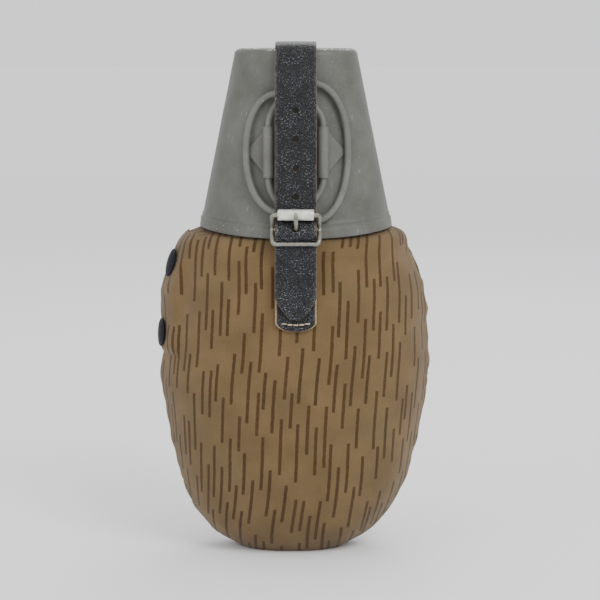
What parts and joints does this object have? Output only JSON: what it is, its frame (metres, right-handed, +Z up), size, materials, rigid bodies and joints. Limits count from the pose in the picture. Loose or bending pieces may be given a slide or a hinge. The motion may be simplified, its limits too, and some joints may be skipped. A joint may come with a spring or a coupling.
{
  "type": "canteen",
  "caption": "Field canteen: flask in a striped cloth cover with a side flap, an inverted cup with folding wire handles, and a leather strap with a roller buckle.",
  "frame": {"origin": "on the flat foot, under the middle of the neck", "axes": "+Z up along the bottle towards the cup's flat end, -Y towards the front with the buckle, +X to the right as seen from the front"},
  "size_m": [0.1208, 0.0887, 0.227],
  "materials": {
    "cloth": "matt cotton cloth",
    "felt": "felt",
    "tape": "folded tape",
    "cup_paint": "satin",
    "wire_paint": "satin",
    "flask_metal": "satin",
    "cap_plastic": "matt",
    "seal_rubber": "matt",
    "strap_leather": "grained",
    "loop_leather": "grained",
    "buckle_steel": "worn",
    "roller_steel": "worn",
    "rivet_steel": "satin",
    "snap_paint": "satin",
    "thread": "thread"
  },
  "bodies": {
    "flask_and_cover": {"flask": "flask_metal", "cover_lining": "felt", "cover_front": "cloth", "cover_back": "cloth", "cover_binding": "tape", "snap_studs": "rivet_steel", "snap_backs": "rivet_steel", "strap_anchor": "strap_leather", "buckle_tab": "strap_leather", "tab_stitches": "thread", "belt_loop": "loop_leather", "belt_loop_rivets": "rivet_steel", "anchor_rivets": "rivet_steel"},
    "flap": {"cover_flap": "cloth", "snap_caps": "snap_paint", "snap_sockets": "rivet_steel"},
    "cup": {"cup": "cup_paint", "bracket_plate": "cup_paint", "hinge_saddle": "cup_paint", "bracket_rivets": "rivet_steel"},
    "left_handle": {"handle_left": "wire_paint"},
    "right_handle": {"handle_right": "wire_paint"},
    "rear_strap": {"strap_rear": "strap_leather"},
    "over_strap": {"strap_over": "strap_leather"},
    "front_strap": {"strap_front": "strap_leather"},
    "seal": {"cap_seal": "seal_rubber"},
    "cap": {"screw_cap": "cap_plastic"},
    "buckle": {"buckle_frame": "buckle_steel"},
    "roller": {"buckle_roller": "roller_steel"},
    "prong": {"buckle_prong": "buckle_steel"}
  },
  "joints": [
    {"name": "cup_lift", "type": "slide", "parent": "flask_and_cover", "child": "cup", "axis": [0, 0, 1], "range_m": [0, 0.07]},
    {"name": "left_handle_fold", "type": "hinge", "parent": "cup", "child": "left_handle", "pos_m": [0.0118, -0.02808, 0.1797], "axis": [0, 0.1184, 0.993], "range_deg": [0, 70]},
    {"name": "right_handle_fold", "type": "hinge", "parent": "cup", "child": "right_handle", "pos_m": [-0.0118, -0.02808, 0.1797], "axis": [0, -0.1184, -0.993], "range_deg": [0, 90]},
    {"name": "flap_open", "type": "hinge", "parent": "flask_and_cover", "child": "flap", "pos_m": [-0.05469, -0.02581, 0.089], "axis": [0.1423, 0.1044, 0.9843], "range_deg": [0, 60]},
    {"name": "strap_lean", "type": "hinge", "parent": "flask_and_cover", "child": "rear_strap", "pos_m": [0, 0.02905, 0.1391], "axis": [-1, 0, 0], "range_deg": [0, 40], "deforming": ["strap_rear"]},
    {"name": "strap_rear_bend", "type": "hinge", "parent": "rear_strap", "child": "over_strap", "pos_m": [0, 0.02107, 0.2174], "axis": [-1, 0, 0], "range_deg": [0, 150], "deforming": ["strap_over"]},
    {"name": "strap_front_bend", "type": "hinge", "parent": "over_strap", "child": "front_strap", "pos_m": [0, -0.0248, 0.2174], "axis": [-1, 0, 0], "range_deg": [0, 160], "deforming": ["strap_front"]},
    {"name": "cap_rise", "type": "slide", "parent": "flask_and_cover", "child": "seal", "axis": [0, 0, 1], "range_m": [0, 0.0065]},
    {"name": "cap_turn", "type": "hinge", "parent": "seal", "child": "cap", "pos_m": [0, 0, 0.17], "axis": [0, 0, 1], "range_deg": [0, 720]},
    {"name": "buckle_tilt", "type": "hinge", "parent": "flask_and_cover", "child": "buckle", "pos_m": [0, -0.0366, 0.1472], "axis": [1, 0, 0], "range_deg": [0, 14]},
    {"name": "roller_spin", "type": "hinge", "parent": "buckle", "child": "roller", "pos_m": [0, -0.04075, 0.15375], "axis": [1, 0, 0], "continuous": true},
    {"name": "prong_swing", "type": "hinge", "parent": "buckle", "child": "prong", "pos_m": [0, -0.0366, 0.1472], "axis": [1, 0, 0], "range_deg": [0, 35]}
  ],
  "couplings": [
    {"joint": "left_handle_fold", "follows": "cup_lift", "rad_per_m": 17.453},
    {"joint": "right_handle_fold", "follows": "cup_lift", "rad_per_m": 22.439},
    {"joint": "cap_rise", "follows": "cap_turn", "m_per_rad": 0.0005093},
    {"joint": "strap_lean", "follows": "cup_lift", "rad_per_m": 9.973},
    {"joint": "strap_rear_bend", "follows": "cup_lift", "rad_per_m": 37.399},
    {"joint": "strap_front_bend", "follows": "cup_lift", "rad_per_m": 39.893},
    {"joint": "buckle_tilt", "follows": "cup_lift", "rad_per_m": 3.49},
    {"joint": "prong_swing", "follows": "cup_lift", "rad_per_m": 8.726}
  ]
}
